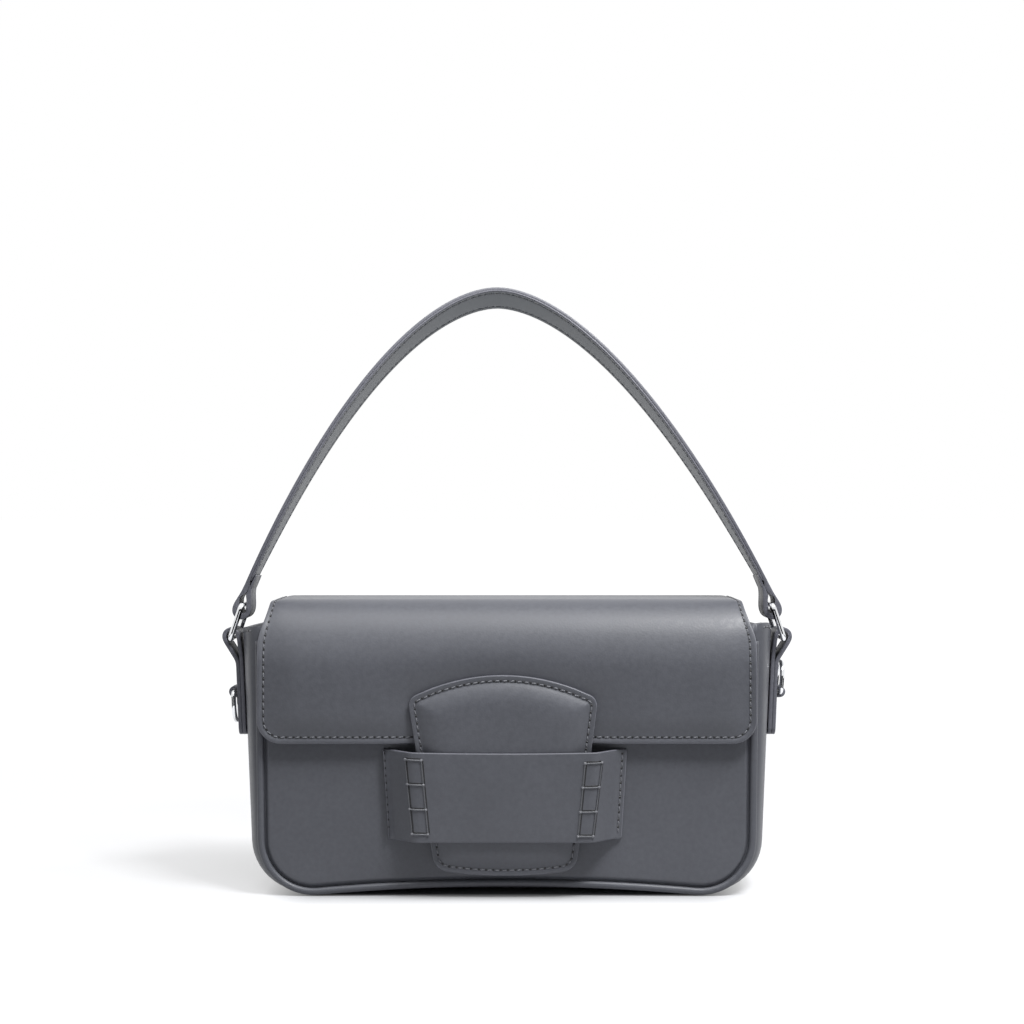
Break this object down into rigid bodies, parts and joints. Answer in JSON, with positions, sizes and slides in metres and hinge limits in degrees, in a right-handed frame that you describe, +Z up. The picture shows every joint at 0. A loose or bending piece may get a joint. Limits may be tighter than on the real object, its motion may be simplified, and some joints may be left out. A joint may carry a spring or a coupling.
{
  "type": "baguette bag",
  "caption": "Low wide leather shoulder bag with a flap, a padded tuck-in tab behind a sewn band, a short arched handle on metal rings and strap rings at the ends.",
  "frame": {"origin": "on the floor under the middle of the body", "axes": "+Z up, +X to the right seen from the flap's side, +Y to the back"},
  "size_m": [0.3048, 0.0869, 0.3225],
  "materials": {
    "leather": "smooth satin grain",
    "lining_leather": "smooth matte",
    "lining_cloth": "fine weave",
    "board": "matte",
    "wadding": "soft",
    "metal": "polished"
  },
  "bodies": {
    "body": {"gusset": "leather", "front_panel": "leather", "rear_panel": "leather", "front_piping": "leather", "rear_piping": "leather", "front_stiffener": "board", "rear_stiffener": "board", "base_board": "board", "lining_front": "lining_cloth", "lining_rear": "lining_cloth", "lining_gusset": "lining_cloth", "slip_pocket": "lining_cloth", "closure_band": "leather", "side_tab_left": "leather", "side_tab_right": "leather", "keeper_left": "leather", "keeper_right": "leather"},
    "flap": {"flap": "leather", "flap_lining": "lining_leather", "closure_tab": "leather", "tab_padding": "wadding", "tab_backing": "lining_leather"},
    "rings": {"ring_left": "metal", "ring_right": "metal"},
    "handle": {"handle_strap": "leather", "handle_lining": "lining_leather"},
    "d_ring_left": {"d_ring_left": "metal"},
    "d_ring_right": {"d_ring_right": "metal"}
  },
  "joints": [
    {"name": "flap_hinge", "type": "hinge", "parent": "body", "child": "flap", "pos_m": [0, 0.0369, 0.1409], "axis": [-1, 0, 0], "range_deg": [0, 165], "deforming": ["flap", "flap_lining", "closure_band"]},
    {"name": "ring_lean", "type": "hinge", "parent": "body", "child": "rings", "pos_m": [0, 0, 0.13159], "axis": [1, 0, 0], "range_deg": [-10, 10]},
    {"name": "handle_lean", "type": "hinge", "parent": "rings", "child": "handle", "pos_m": [0, 0, 0.14961], "axis": [1, 0, 0], "range_deg": [-16, 16]},
    {"name": "left_d_ring_turn", "type": "hinge", "parent": "body", "child": "d_ring_left", "pos_m": [-0.14596, 0, 0.1028], "axis": [0, 1, 0], "range_deg": [0, 170]},
    {"name": "right_d_ring_turn", "type": "hinge", "parent": "body", "child": "d_ring_right", "pos_m": [0.14596, 0, 0.1028], "axis": [0, 1, 0], "range_deg": [0, 170]}
  ],
  "couplings": [
    {"joint": "ring_lean", "follows": "handle_lean", "ratio": 0.625}
  ]
}
